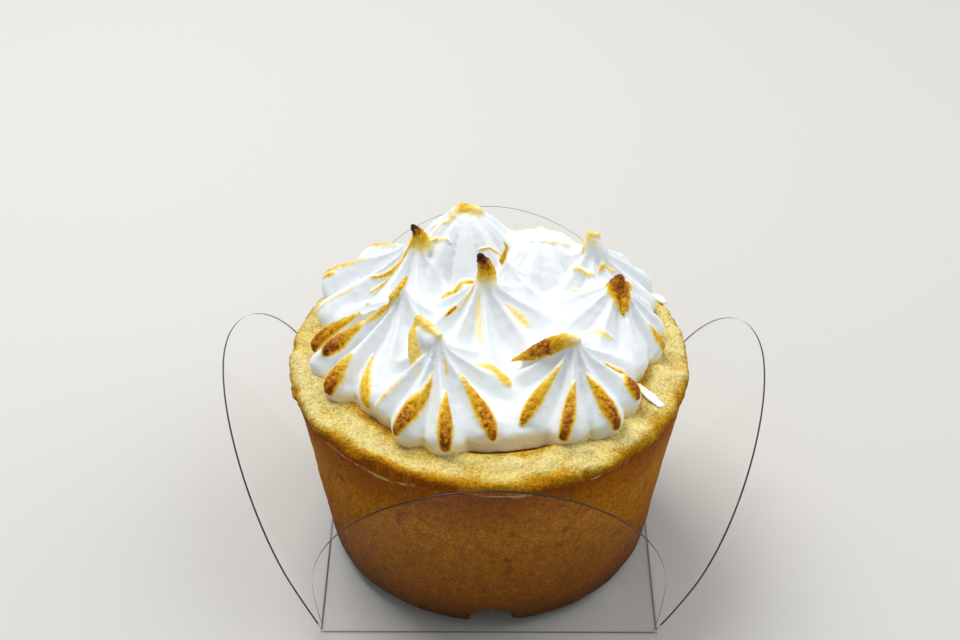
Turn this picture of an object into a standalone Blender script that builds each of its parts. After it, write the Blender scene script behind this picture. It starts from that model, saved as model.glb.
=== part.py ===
"""A lemon meringue tartlet in the folded clear case that it is sold in.

The crust is a thick shortcrust cup, filled to just below its rim. The meringue on
top is one mass of star-piped kisses. The case is one clear sheet, folded into a
square base and four round petals. The origin is the middle of the case's underside,
+Z is up and -Y is the front.
"""

import math

import bmesh
import bpy
from mathutils import Matrix, Vector, noise

# Driving dimensions, in metres.
MM = 0.001
CLEARANCE = 0.3 * MM  # between two pieces that rest on each other

# The clear case.
SHEET = 0.3 * MM
BASE_SIDE = 52.6 * MM
CORNER_RELIEF = 0.6 * MM  # each crease stops this far short of the corner
PETAL_LENGTH = 38.5 * MM
PETAL_HALF_WIDTH = 26.7 * MM
PETAL_WIDEST_AT = 11.9 * MM  # distance from the crease to the petal's widest line
PETAL_ROUNDNESS = 1.9  # exponent of the petal's top: 2 is an ellipse
PETAL_FLANK_ROWS = 4
PETAL_TOP_ROWS = 14
# Each petal's direction, its lean from the vertical and its bend outwards, in degrees.
PETALS = {
    "front": (-90.0, 5.5, 12.0),
    "right": (0.0, 25.0, 0.0),
    "back": (90.0, 18.5, 0.0),
    "left": (180.0, 18.0, 10.0),
}

# The crust.
TARTLET_OFFSET_Y = 0.4 * MM  # the tartlet stands a little behind the case's middle
CRUST_HEIGHT = 34.5 * MM
RIM_RADIUS = 31.0 * MM
FOOT_RADIUS = 26.2 * MM  # where the bottom edge's rounding meets the wall
FOOT_ROUNDING = 2.8 * MM
RIM_ROUNDING = 1.4 * MM
LIP_DEPTH = 2.0 * MM  # the trimmed band of pastry below the rim
LIP_STEP = 0.35 * MM  # that band stands this far proud of the wall
RIM_CROWN = 0.5 * MM  # fall of the rim's top towards the meringue
RIM_INNER_RADIUS = 23.4 * MM
RECESS_RADIUS = 21.8 * MM
RECESS_DEPTH = 1.7 * MM
CRUST_STEPS = 84
CRUMB_RELIEF = 0.35 * MM
CRUMB_SPACING = 5.0 * MM
CHIP_WIDTH = 8.4 * MM  # the chip broken out of the bottom edge, at the front
CHIP_HEIGHT = 2.4 * MM
CHIP_DEPTH = 4.5 * MM
CHIP_X = 0.6 * MM

# The meringue: ten kisses on a low pad, with the peaks that the nozzle pulled.
RIDGES = 9  # the nozzle's teeth
COLUMNS = 6 * RIDGES
# Each kiss, in mm: tip x, y, height; base x, y, radius; then the side that it was
# dragged to in degrees, the ridges' turn in parts of one ridge, the bluntness from 0 to
# 1, and how much the ridges crowd on the dragged side.
KISSES = {
    "front_left": (-7.8, -9.8, 11.5, -5.8, -12.4, 11.3, -84.0, 0.0, 0.0, 0.25),
    "front_right": (12.6, -9.4, 11.3, 11.4, -10.4, 11.1, -113.0, 0.5, 0.0, 0.12),
    "left": (-13.2, 2.2, 11.3, -15.3, -2.6, 12.4, -155.0, 0.0, 0.0, 0.5),
    "middle": (-1.2, 4.0, 13.2, 1.0, -1.0, 14.0, -100.0, 0.5, 0.0, 0.25),
    "right": (20.2, 4.4, 10.7, 15.8, 1.8, 11.2, -60.0, 0.5, 0.1, 0.25),
    "back_left": (-11.6, 14.8, 12.4, -14.2, 11.4, 13.3, -120.0, 0.0, 0.0, 0.25),
    "back": (-3.8, 19.0, 14.2, -3.6, 16.2, 12.0, -90.0, 0.0, 0.9, 0.25),
    "back_right": (8.4, 17.4, 10.4, 7.2, 15.2, 12.2, -90.0, 0.5, 1.0, 0.25),
    "right_back": (16.4, 14.8, 11.2, 14.6, 12.4, 11.8, -60.0, 0.0, 0.2, 0.25),
    "inner": (2.6, 10.4, 10.2, 4.4, 7.0, 11.4, -70.0, 0.0, 0.2, 0.25),
}
# The rings of a kiss from its foot to its tip: share of the way out from the tip, share
# of the height, depth of the grooves in mm and sharpness of the ridges between them.
KISS_RINGS = (
    (1.0, 0.0, 1.6, 0.9),
    (0.94, 0.23, 1.9, 0.95),
    (0.83, 0.35, 2.0, 1.35),
    (0.65, 0.465, 1.85, 2.0),
    (0.45, 0.57, 1.45, 3.1),
    (0.26, 0.69, 0.97, 4.1),
    (0.12, 0.815, 0.47, 4.3),
    (0.04, 0.935, 0.17, 4.4),
)
GROOVE_RADIUS = 13.0  # the kiss radius, in mm, that the groove depths hold for
GROOVE_REACH = 0.90  # how far out the bottom of a groove reaches, as a share
RIDGE_REACH = 0.13  # how much further a crest reaches
LOBE_ROUNDNESS = 0.8
DOME_ROUNDNESS = 0.8  # exponent of the blunt kisses' cosine: lower is flatter on top
# Peaks pulled up or over: points x, y, height and radius along each, in mm.
PEAKS = {
    "middle": (
        (-0.5, 3.8, 10.5, 1.8),
        (-0.5, 4.1, 12.4, 1.4),
        (-0.9, 4.3, 13.8, 1.05),
        (-1.5, 4.4, 14.9, 0.6),
    ),
    "back_left": (
        (-11.3, 14.7, 8.6, 1.9),
        (-11.0, 14.8, 10.4, 1.5),
        (-11.3, 14.9, 11.9, 1.0),
        (-12.2, 15.0, 12.9, 0.5),
    ),
    "front_right": (
        (13.0, -9.7, 10.3, 1.0),
        (10.6, -9.7, 9.8, 1.3),
        (8.3, -9.5, 8.2, 1.45),
        (6.0, -9.3, 6.3, 1.2),
        (3.8, -8.8, 4.8, 0.7),
    ),
    "front_right_wall": ((10.8, -8.9, 7.6, 2.0), (8.0, -8.7, 5.6, 1.9)),
    "inner": (
        (2.0, 11.0, 9.2, 0.8),
        (2.3, 11.2, 10.3, 0.6),
        (2.8, 11.5, 11.4, 0.5),
        (2.5, 11.8, 12.3, 0.38),
    ),
    "right_back": ((16.9, 14.5, 8.0, 2.2), (16.4, 14.7, 10.0, 1.6), (16.6, 14.9, 11.4, 1.0)),
    "left": ((-14.6, 1.5, 9.3, 0.8), (-13.6, 2.6, 10.3, 0.65), (-12.8, 4.2, 11.0, 0.4)),
    "back": ((-5.8, 18.9, 13.0, 1.2), (-3.8, 19.2, 13.5, 1.3), (-1.6, 19.0, 13.1, 1.2)),
    "front_left": ((-7.5, -9.8, 10.3, 0.9), (-9.0, -7.4, 10.3, 0.95), (-10.7, -5.2, 10.2, 0.8)),
    "front_left_wall": ((-8.0, -9.0, 8.2, 1.9), (-10.2, -6.4, 8.0, 1.9)),
    "front_left_fold": (
        (-10.9, -5.3, 10.0, 0.8),
        (-11.6, -7.4, 8.6, 0.95),
        (-11.3, -9.8, 6.6, 1.0),
        (-10.8, -12.8, 4.6, 0.8),
    ),
}
PEAK_SIDES = 8
PEAK_END = 0.8  # how far a peak's rounded end runs on, as a share of its radius there
PEAK_END_WIDTH = 0.45
# How thick a peak is, front to back, as a share of its width.
FLATTENED = {"front_right": 0.8, "right_back": 0.7, "front_left_fold": 0.7}
# The pad under the kisses: how far in from its edge, and its height there, in mm.
PAD_CENTRE_Y = 2.7
PAD_RADIUS = 24.8
PAD_PROFILE = (
    (0.0, 0.0),
    (0.4, 0.7),
    (1.1, 1.6),
    (2.3, 2.3),
    (4.3, 2.9),
    (7.3, 3.4),
    (12.0, 3.9),
    (24.8, 4.3),
)
# Smears of meringue on the rim, in mm: x, y, half sizes, turn in degrees.
SMEARS = (
    (24.2, -11.0, 4.0, 1.0, 0.6, -55.0),
    (27.3, 13.3, 2.0, 0.9, 0.7, -40.0),
)
FOOT_SINK = 1.0 * MM  # how far the kisses start below the meringue's bed
PLUG_RISE = 1.0 * MM  # how far the plug in the recess reaches into the pad
# The swell of the skirt: height over the rim and how far the flank swells out there.
SKIRT_SWELL = ((0.0, -0.2), (1.0, 0.35), (2.2, 0.7), (3.5, 0.5), (5.0, 0.1), (8.0, 0.0))
SWELL_STARTS_AT = 17.0  # distance from the axis, in mm, where the swell sets in
SWELL_FULL_AT = 23.0

CASE_FLOOR = SHEET + CLEARANCE
BED_Z = CASE_FLOOR + CRUST_HEIGHT + CLEARANCE  # the meringue's underside on the rim
PLUG_RADIUS = RECESS_RADIUS - 2 * CLEARANCE  # the part of the meringue in the recess


def clear_scene():
    for old in list(bpy.data.objects):
        bpy.data.objects.remove(old, do_unlink=True)


def make_material(name, colour, roughness, transmission=0.0):
    """A Principled material; nothing on the tartlet is metal."""
    material = bpy.data.materials.new(name)
    material.use_nodes = True
    shader = material.node_tree.nodes["Principled BSDF"]
    shader.inputs["Base Color"].default_value = (*colour, 1.0)
    shader.inputs["Roughness"].default_value = roughness
    shader.inputs["Metallic"].default_value = 0.0
    shader.inputs["Transmission Weight"].default_value = transmission
    return material


def make_object(name, bm, material=None, location=(0.0, 0.0, 0.0)):
    """Turns a bmesh into a named object with its faces pointing out."""
    bmesh.ops.recalc_face_normals(bm, faces=bm.faces)
    mesh = bpy.data.meshes.new(name)
    bm.to_mesh(mesh)
    bm.free()
    if material:
        mesh.materials.append(material)
    made = bpy.data.objects.new(name, mesh)
    made.location = location
    bpy.context.collection.objects.link(made)
    return made


def arc(centre_x, centre_z, radius, start_deg, end_deg, steps):
    """Points of an arc in the plane of a turned profile."""
    points = []
    for i in range(steps + 1):
        angle = math.radians(start_deg + (end_deg - start_deg) * i / steps)
        x = centre_x + radius * math.cos(angle)
        z = centre_z + radius * math.sin(angle)
        points.append((x, z))
    return points


def turned(profile, steps):
    """A bmesh turned about Z from a profile that starts and ends on the axis."""
    bm = bmesh.new()
    verts = [bm.verts.new((x, 0.0, z)) for x, z in profile]
    edges = [bm.edges.new(pair) for pair in zip(verts, verts[1:])]
    bmesh.ops.spin(
        bm,
        geom=verts + edges,
        axis=(0.0, 0.0, 1.0),
        cent=(0.0, 0.0, 0.0),
        angle=2.0 * math.pi,
        steps=steps,
        use_merge=True,
    )
    bmesh.ops.remove_doubles(bm, verts=bm.verts, dist=0.01 * MM)
    return bm


# The clear case


def petal_rows():
    """(distance from the crease, half width) of each row across a petal."""
    half_crease = BASE_SIDE / 2 - CORNER_RELIEF
    rows = []
    for i in range(1, PETAL_FLANK_ROWS + 1):
        part = i / PETAL_FLANK_ROWS
        widening = (PETAL_HALF_WIDTH - half_crease) * math.sin(part * math.pi / 2)
        rows.append((PETAL_WIDEST_AT * part, half_crease + widening))
    power = 2.0 / PETAL_ROUNDNESS
    for i in range(1, PETAL_TOP_ROWS + 1):
        # The last row stops short of the top, which leaves a short straight edge.
        angle = (math.pi / 2) * i / (PETAL_TOP_ROWS + 0.4)
        rise = (PETAL_LENGTH - PETAL_WIDEST_AT) * math.sin(angle) ** power
        rows.append((PETAL_WIDEST_AT + rise, PETAL_HALF_WIDTH * math.cos(angle) ** power))
    return rows


def fold_up_petal(bm, crease, direction_deg, lean_deg, bend_deg):
    """Extrudes one petal from its crease, row by row, leaning and bending outwards."""
    outward = Vector((math.cos(math.radians(direction_deg)), math.sin(math.radians(direction_deg)), 0.0))
    across = Vector((-outward.y, outward.x, 0.0))
    middle = outward * (BASE_SIDE / 2)
    edge = crease
    reached = 0.0
    for distance, half_width in petal_rows():
        step = distance - reached
        angle = math.radians(lean_deg + bend_deg * (reached + step / 2) / PETAL_LENGTH)
        middle = middle + step * (outward * math.sin(angle) + Vector((0.0, 0.0, math.cos(angle))))
        reached = distance
        made = bmesh.ops.extrude_edge_only(bm, edges=[edge])
        edge = next(e for e in made["geom"] if isinstance(e, bmesh.types.BMEdge))
        for vert in edge.verts:
            side = 1.0 if vert.co.dot(across) > 0.0 else -1.0
            vert.co = middle + across * (side * half_width)


def make_clear_case(material):
    """One sheet: a square base with a petal folded up from each side."""
    bm = bmesh.new()
    half = BASE_SIDE / 2
    crease = half - CORNER_RELIEF
    outline = []
    for quarter in range(4):
        turn = Matrix.Rotation(quarter * math.pi / 2, 3, "Z")
        for x, y in ((half, -crease), (half, crease), (half, half)):
            outline.append(bm.verts.new(turn @ Vector((x, y, 0.0))))
    base = bm.faces.new(outline)
    for direction_deg, lean_deg, bend_deg in PETALS.values():
        outward = Vector((math.cos(math.radians(direction_deg)), math.sin(math.radians(direction_deg)), 0.0))
        middle = outward * half
        side = min(base.edges, key=lambda e: ((e.verts[0].co + e.verts[1].co) / 2 - middle).length)
        fold_up_petal(bm, side, direction_deg, lean_deg, bend_deg)
    made = make_object("clear_case", bm, material)
    # The drawn sheet is the case's outside, so its thickness goes inwards.
    if made.data.polygons[0].normal.z > 0.0:
        made.data.flip_normals()
    wall = made.modifiers.new("sheet", "SOLIDIFY")
    wall.thickness = SHEET
    wall.offset = -1.0
    wall.use_even_offset = True
    return made


# The crust


def crust_profile():
    """The crust's outline from the middle of its underside to the middle of its top."""
    top = CRUST_HEIGHT
    slope = math.atan2(RIM_RADIUS - LIP_STEP - FOOT_RADIUS, top - RIM_ROUNDING - FOOT_ROUNDING)
    foot = arc(FOOT_RADIUS - FOOT_ROUNDING, FOOT_ROUNDING, FOOT_ROUNDING, -90, -math.degrees(slope), 4)
    wall = []
    lip_z = top - LIP_DEPTH
    for part in (0.2, 0.4, 0.6, 0.8, 1.0):
        z = FOOT_ROUNDING + (lip_z - FOOT_ROUNDING) * part
        wall.append((FOOT_RADIUS + (z - FOOT_ROUNDING) * math.tan(slope), z))
    lip_radius = wall[-1][0] + LIP_STEP
    lip = [(lip_radius, lip_z + LIP_STEP)]
    rim = arc(RIM_RADIUS - RIM_ROUNDING, top - RIM_ROUNDING, RIM_ROUNDING, -5, 90, 4)
    crown = []
    for part in (0.35, 0.7, 1.0):
        x = RIM_RADIUS - RIM_ROUNDING + (RIM_INNER_RADIUS - RIM_RADIUS + RIM_ROUNDING) * part
        crown.append((x, top - RIM_CROWN * part**2))
    recess = [(RECESS_RADIUS, top - RECESS_DEPTH), (0.0, top - RECESS_DEPTH)]
    return [(0.0, 0.0)] + foot + wall + lip + rim + crown + recess


def crumble(bm):
    """Presses a low uneven relief into the wall and the rim, and leaves the underside
    and the bed under the meringue flat."""
    for vert in bm.verts:
        radius = math.hypot(vert.co.x, vert.co.y)
        if vert.co.z < FOOT_ROUNDING or radius < FOOT_RADIUS * 0.999:
            continue
        coarse = noise.noise(vert.co / CRUMB_SPACING)
        fine = noise.noise(vert.co / (CRUMB_SPACING * 0.4) + Vector((7.0, 3.0, 1.0)))
        near_top = max(0.0, (vert.co.z - (CRUST_HEIGHT - LIP_DEPTH)) / LIP_DEPTH)
        outward = Vector((vert.co.x, vert.co.y, 0.0)).normalized()
        push = CRUMB_RELIEF * (0.45 + 0.75 * near_top) * (coarse + 0.6 * fine)
        rim_share = min(1.0, max(0.0, (radius - FOOT_RADIUS) / (2.5 * MM)))
        vert.co += outward * push
        # The rim stays clear of the flat underside of the meringue.
        vert.co.z += near_top * rim_share * min(push, 0.5 * CLEARANCE)


def make_crust(material):
    bm = turned(crust_profile(), CRUST_STEPS)
    crumble(bm)
    crust = make_object("crust", bm, material, (0.0, TARTLET_OFFSET_Y, CASE_FLOOR))
    chip = bmesh.new()
    bmesh.ops.create_icosphere(chip, subdivisions=2, radius=1.0)
    bmesh.ops.scale(chip, verts=chip.verts, vec=(CHIP_WIDTH / 2, CHIP_DEPTH, CHIP_HEIGHT))
    for vert in chip.verts:
        vert.co *= 1.0 + 0.18 * noise.noise(vert.co / (2.0 * MM))
    front = -FOOT_RADIUS + TARTLET_OFFSET_Y
    cutter = make_object("chip_cutter", chip, None, (CHIP_X, front, CASE_FLOOR))
    cutter.hide_render = True
    cutter.display_type = "WIRE"
    cut = crust.modifiers.new("chip", "BOOLEAN")
    cut.operation = "DIFFERENCE"
    cut.object = cutter
    return crust


# The meringue


def interpolated(value, table):
    """The value's match in a table of ascending pairs, flat beyond both of its ends."""
    for (x0, y0), (x1, y1) in zip(table, table[1:]):
        if value <= x1:
            return y0 + (y1 - y0) * max(0.0, value - x0) / (x1 - x0)
    return table[-1][1]


def kiss_point(kiss, ring, column):
    """A point on a kiss's surface, in metres over the middle of the rim's plane."""
    tip_x, tip_y, height, base_x, base_y, radius, dragged_deg, turn, blunt, crowding = kiss
    share, fall, groove, sharpness = ring
    fanned = 2.0 * math.pi * (column / COLUMNS + turn / RIDGES)
    direction = math.radians(dragged_deg) + fanned - crowding * math.sin(fanned)
    out = Vector((math.cos(direction), math.sin(direction), 0.0))
    tip = Vector((tip_x, tip_y, 0.0))
    lean = Vector((base_x, base_y, 0.0)) - tip
    along = lean.dot(out)
    edge = along + math.sqrt(radius**2 - lean.length_squared + along**2)
    crest = abs(math.cos(math.pi * column * RIDGES / COLUMNS))
    dome = math.cos(share * math.pi / 2.0) ** DOME_ROUNDNESS
    groove *= 1.0 - 0.5 * blunt * min(1.0, max(0.0, 1.2 - 2.0 * share))
    z = height * ((1.0 - blunt) * fall + blunt * dome)
    z -= groove * radius / GROOVE_RADIUS * (1.0 - crest**sharpness)
    place = tip + out * share * edge * (GROOVE_REACH + RIDGE_REACH * crest**LOBE_ROUNDNESS)
    place.z = max(z, -0.5 * FOOT_SINK / MM)
    return place * MM


def bridge_ring(bm, made, below):
    """Joins a new circle to the ring of edges below it."""
    ring = list({edge for vert in made["verts"] for edge in vert.link_edges})
    if below:
        bmesh.ops.bridge_loops(bm, edges=below + ring)
    return ring


def pipe_kiss(name, kiss):
    """A star-piped kiss, bridged ring by ring from its sunken foot to its leaning tip."""
    bm = bmesh.new()
    below = []
    rings = (KISS_RINGS[0],) + KISS_RINGS
    for step, shape in enumerate(rings):
        end = step in (0, len(rings) - 1)
        made = bmesh.ops.create_circle(bm, cap_ends=end, segments=COLUMNS, radius=1.0)
        for vert in made["verts"]:
            column = round(math.atan2(vert.co.y, vert.co.x) / (2.0 * math.pi) * COLUMNS)
            vert.co = kiss_point(kiss, shape, column)
            if step == 0:
                vert.co.z = -FOOT_SINK
            vert.co.z += BED_Z
        below = bridge_ring(bm, made, below)
    return make_object(name, bm)


def pull_peak(name, path, flattened):
    """A tapered peak, bridged ring by ring along its points and closed at both ends."""
    bm = bmesh.new()
    points = [Vector(point) for point in path]
    last_step = (points[-1] - points[-2]).xyz.normalized()
    tip = points[-1].xyz + PEAK_END * points[-1].w * last_step
    points.append(Vector((*tip, PEAK_END_WIDTH * points[-1].w)))
    facing = (points[1] - points[0]).xyz.to_track_quat("Z", "Y")
    below = []
    for number, point in enumerate(points):
        way = (points[min(number + 1, len(points) - 1)] - points[max(number - 1, 0)]).xyz
        facing = (facing @ Vector((0.0, 0.0, 1.0))).rotation_difference(way) @ facing
        end = number in (0, len(points) - 1)
        made = bmesh.ops.create_circle(bm, cap_ends=end, segments=PEAK_SIDES, radius=point.w)
        for vert in made["verts"]:
            vert.co = (point.xyz + facing @ Vector((vert.co.x, vert.co.y * flattened, 0.0))) * MM
            vert.co.z += BED_Z
        below = bridge_ring(bm, made, below)
    return make_object(name, bm)


def make_plug():
    """The part of the meringue that fills the recess of the crust."""
    floor = BED_Z - RECESS_DEPTH
    top = BED_Z + PLUG_RISE
    profile = [(0.0, floor), (PLUG_RADIUS, floor), (PLUG_RADIUS, top), (0.0, top)]
    return make_object("plug", turned(profile, COLUMNS))


def make_pad():
    """The low bed of meringue that the kisses stand in."""
    foot = BED_Z - FOOT_SINK
    flank = [((PAD_RADIUS - inset) * MM, BED_Z + height * MM) for inset, height in PAD_PROFILE]
    bm = turned([(0.0, foot), (PAD_RADIUS * MM, foot)] + flank, COLUMNS)
    bmesh.ops.translate(bm, verts=bm.verts, vec=(0.0, PAD_CENTRE_Y * MM, 0.0))
    return make_object("pad", bm)


def make_smear(name, x, y, half_length, half_width, half_height, turn_deg):
    """A dab of meringue that was dragged across the rim."""
    bm = bmesh.new()
    bmesh.ops.create_icosphere(bm, subdivisions=2, radius=1.0)
    bmesh.ops.scale(bm, verts=bm.verts, vec=(half_length * MM, half_width * MM, half_height * MM))
    bmesh.ops.rotate(bm, verts=bm.verts, matrix=Matrix.Rotation(math.radians(turn_deg), 3, "Z"))
    bmesh.ops.translate(bm, verts=bm.verts, vec=(x * MM, y * MM, BED_Z))
    return make_object(name, bm)


def make_trimmer():
    """A ring that trims everything beside the plug level with the crust's rim."""
    bm = bmesh.new()
    outer = 1.5 * RIM_RADIUS
    bottom = BED_Z - 3 * RECESS_DEPTH
    corners = ((PLUG_RADIUS, bottom), (outer, bottom), (outer, BED_Z), (PLUG_RADIUS, BED_Z))
    verts = [bm.verts.new((x, 0.0, z)) for x, z in corners]
    edges = [bm.edges.new((verts[i - 1], verts[i])) for i in range(len(verts))]
    bmesh.ops.spin(
        bm,
        geom=verts + edges,
        axis=(0.0, 0.0, 1.0),
        cent=(0.0, 0.0, 0.0),
        angle=2.0 * math.pi,
        steps=COLUMNS,
        use_merge=True,
    )
    return make_object("trimmer", bm)


def keep_largest_shell(bm):
    """Drops the walls of any pocket that the fusing sealed, and any loose scrap."""
    left = set(bm.faces)
    shells = []
    while left:
        shell = {left.pop()}
        front = list(shell)
        while front:
            for edge in front.pop().edges:
                for near in edge.link_faces:
                    if near in left:
                        left.remove(near)
                        shell.add(near)
                        front.append(near)
        shells.append(shell)
    largest = max(shells, key=len)
    dropped = [face for shell in shells if shell is not largest for face in shell]
    bmesh.ops.delete(bm, geom=dropped, context="FACES")


def swell_skirt(bm):
    """Swells the flanks of the outer kisses over their foot."""
    for vert in bm.verts:
        height = (vert.co.z - BED_Z) / MM
        radius = math.hypot(vert.co.x, vert.co.y) / MM
        if height < 0.05 or radius < SWELL_STARTS_AT:
            continue
        swell = interpolated(height, SKIRT_SWELL)
        swell *= min(1.0, (radius - SWELL_STARTS_AT) / (SWELL_FULL_AT - SWELL_STARTS_AT))
        vert.co.xy *= 1.0 + swell / radius


def make_meringue(material):
    """Fuses the plug, the pad, the kisses, their peaks and the smears into one solid, and
    trims its underside."""
    plug = make_plug()
    pieces = [make_pad()]
    pieces += [pipe_kiss(f"kiss_{name}", kiss) for name, kiss in KISSES.items()]
    pieces += [pull_peak(f"peak_{name}", path, FLATTENED.get(name, 1.0)) for name, path in PEAKS.items()]
    pieces += [make_smear(f"smear_{number}", *smear) for number, smear in enumerate(SMEARS)]
    piped = bpy.data.collections.new("piped")
    bpy.context.scene.collection.children.link(piped)
    for piece in pieces:
        bpy.context.collection.objects.unlink(piece)
        piped.objects.link(piece)
    fuse = plug.modifiers.new("fuse", "BOOLEAN")
    fuse.operation = "UNION"
    fuse.operand_type = "COLLECTION"
    fuse.collection = piped
    fuse.solver = "MANIFOLD"
    trimmer = make_trimmer()
    trim = plug.modifiers.new("trim", "BOOLEAN")
    trim.operation = "DIFFERENCE"
    trim.object = trimmer
    trim.solver = "MANIFOLD"
    fused = bpy.data.meshes.new_from_object(plug.evaluated_get(bpy.context.evaluated_depsgraph_get()))
    for used in pieces + [trimmer, plug]:
        bpy.data.objects.remove(used, do_unlink=True)
    bpy.data.collections.remove(piped)
    bm = bmesh.new()
    bm.from_mesh(fused)
    bpy.data.meshes.remove(fused)
    keep_largest_shell(bm)
    swell_skirt(bm)
    bmesh.ops.translate(bm, verts=bm.verts, vec=(0.0, TARTLET_OFFSET_Y, 0.0))
    return make_object("meringue", bm, material)


def main():
    clear_scene()
    clear_sheet = make_material("clear_pet_sheet", (0.95, 0.96, 0.94), 0.05, 1.0)
    shortcrust = make_material("baked_shortcrust", (0.61, 0.35, 0.10), 0.8)
    meringue = make_material("toasted_meringue", (0.86, 0.88, 0.92), 0.45)
    make_clear_case(clear_sheet)
    crust = make_crust(shortcrust)
    topping = make_meringue(meringue)
    for turned_piece in (crust, topping):
        turned_piece.data.shade_smooth()
        turned_piece.data.set_sharp_from_angle(angle=math.radians(40))


main()
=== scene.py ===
"""The looks of a lemon meringue tartlet in its folded clear case.

The crust, the meringue and the case are each remade with a fine surface in the place
of their solids. The origin is the middle of the case's underside and -Y is the front.
"""

import math
import random

import bmesh
import bpy
import numpy as np
from mathutils import Matrix, Vector, noise


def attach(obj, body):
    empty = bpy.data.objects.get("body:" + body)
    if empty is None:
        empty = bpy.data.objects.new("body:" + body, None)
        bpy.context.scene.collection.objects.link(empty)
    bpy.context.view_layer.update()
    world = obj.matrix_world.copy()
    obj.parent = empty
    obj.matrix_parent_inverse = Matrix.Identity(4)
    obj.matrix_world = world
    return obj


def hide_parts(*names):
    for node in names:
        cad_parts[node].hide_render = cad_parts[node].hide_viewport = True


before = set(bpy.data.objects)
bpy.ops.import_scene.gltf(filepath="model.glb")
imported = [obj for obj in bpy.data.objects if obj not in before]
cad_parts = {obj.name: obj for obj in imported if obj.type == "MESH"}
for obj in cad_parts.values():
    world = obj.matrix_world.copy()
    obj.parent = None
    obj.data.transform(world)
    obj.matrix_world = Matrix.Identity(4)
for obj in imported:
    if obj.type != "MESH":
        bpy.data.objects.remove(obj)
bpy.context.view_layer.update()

# The clear case: one die-cut sheet of PET film, creased into a square base with four round petals
# that lean out round the tartlet. Nothing joins the petals. The film is glass-clear, so only its
# glints show, while its creases and its cut edges are painted as dark lines that stand in for the
# shade and reflections in them.

MM = 0.001
SHEET = 0.3 * MM
BASE_SIDE = 52.6 * MM
CORNER_RELIEF = 0.6 * MM
PETAL_LENGTH = 38.5 * MM
PETAL_HALF_WIDTH = 26.7 * MM
PETAL_WIDEST_AT = 11.9 * MM
PETAL_ROUNDNESS = 1.9
PETAL_TIP = 0.3 * MM  # half the width that is left at the very top
PETAL_ROWS = 60
PETAL_COLUMNS = 16
FILM_WAVE = 0.25 * MM  # how far a petal waves out of its plane
# Each petal's direction, its lean from the vertical and its bend outwards, in degrees.
PETALS = {
    "front": (-90.0, 5.5, 12.0),
    "right": (0.0, 25.0, 0.0),
    "back": (90.0, 18.5, 0.0),
    "left": (180.0, 18.0, 10.0),
}
FILM_TINT = "#ffffff"
FILM_MIRROR = 0.28  # how much of a bare sheet's mirroring shows in the soft light
# The cut edges and the creases are painted dark brown: painted shade and reflection, not a colour
# of the film.
PAINTED_DARK_LINE_COLOUR = "#1f150e"
EDGE_COVER = 0.95  # how much of what lies behind them the cut edges and the creases hide
CREASE_COVER = 0.35
# Of the case's four material slots, the plain faces use 0 and the faces that meet a crease
# use 2. The sheet's rim takes the slot after its face's.
CREASED = 2


def linear(hex_colour):
    """A linear RGBA colour from an sRGB hex value."""
    channels = []
    for start in (1, 3, 5):
        value = int(hex_colour[start:start + 2], 16) / 255
        channels.append(value / 12.92 if value <= 0.04045 else ((value + 0.055) / 1.055) ** 2.4)
    return (*channels, 1.0)


def add_node(tree, kind, settings=None, **inputs):
    """Adds a node with its settings and inputs, each input by its name or as _ and its number.

    An input that is given another node's output is linked to it.
    """
    made = tree.nodes.new(kind)
    for name, value in (settings or {}).items():
        setattr(made, name, value)
    for name, value in inputs.items():
        number = name[1:]
        socket = made.inputs[int(number) if number.isdigit() else name.replace("_", " ")]
        if isinstance(value, bpy.types.NodeSocket):
            tree.links.new(value, socket)
        else:
            socket.default_value = value
    return made


def new_material(name):
    """A material with an empty tree but for its output node."""
    material = bpy.data.materials.new(name)
    material.use_nodes = True
    tree = material.node_tree
    tree.nodes.clear()
    return material, tree, tree.nodes.new("ShaderNodeOutputMaterial")


def finish_piece(name, bm, materials, node):
    """Makes the shown piece that stands for a node of the frame."""
    mesh = bpy.data.meshes.new(name)
    bm.to_mesh(mesh)
    bm.free()
    for material in materials:
        mesh.materials.append(material)
    piece = bpy.data.objects.new(name, mesh)
    bpy.context.collection.objects.link(piece)
    mesh.shade_smooth()
    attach(piece, "root")
    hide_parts(node)
    return piece


def petal_half_width(distance):
    """Half the petal's width at a distance from its crease."""
    half_crease = BASE_SIDE / 2 - CORNER_RELIEF
    if distance < PETAL_WIDEST_AT:
        widening = math.sin(distance / PETAL_WIDEST_AT * math.pi / 2)
        return half_crease + (PETAL_HALF_WIDTH - half_crease) * widening
    above = (distance - PETAL_WIDEST_AT) / (PETAL_LENGTH - PETAL_WIDEST_AT)
    narrowed = max(0.0, 1.0 - above**PETAL_ROUNDNESS) ** (1.0 / PETAL_ROUNDNESS)
    return max(PETAL_HALF_WIDTH * narrowed, PETAL_TIP)


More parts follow.
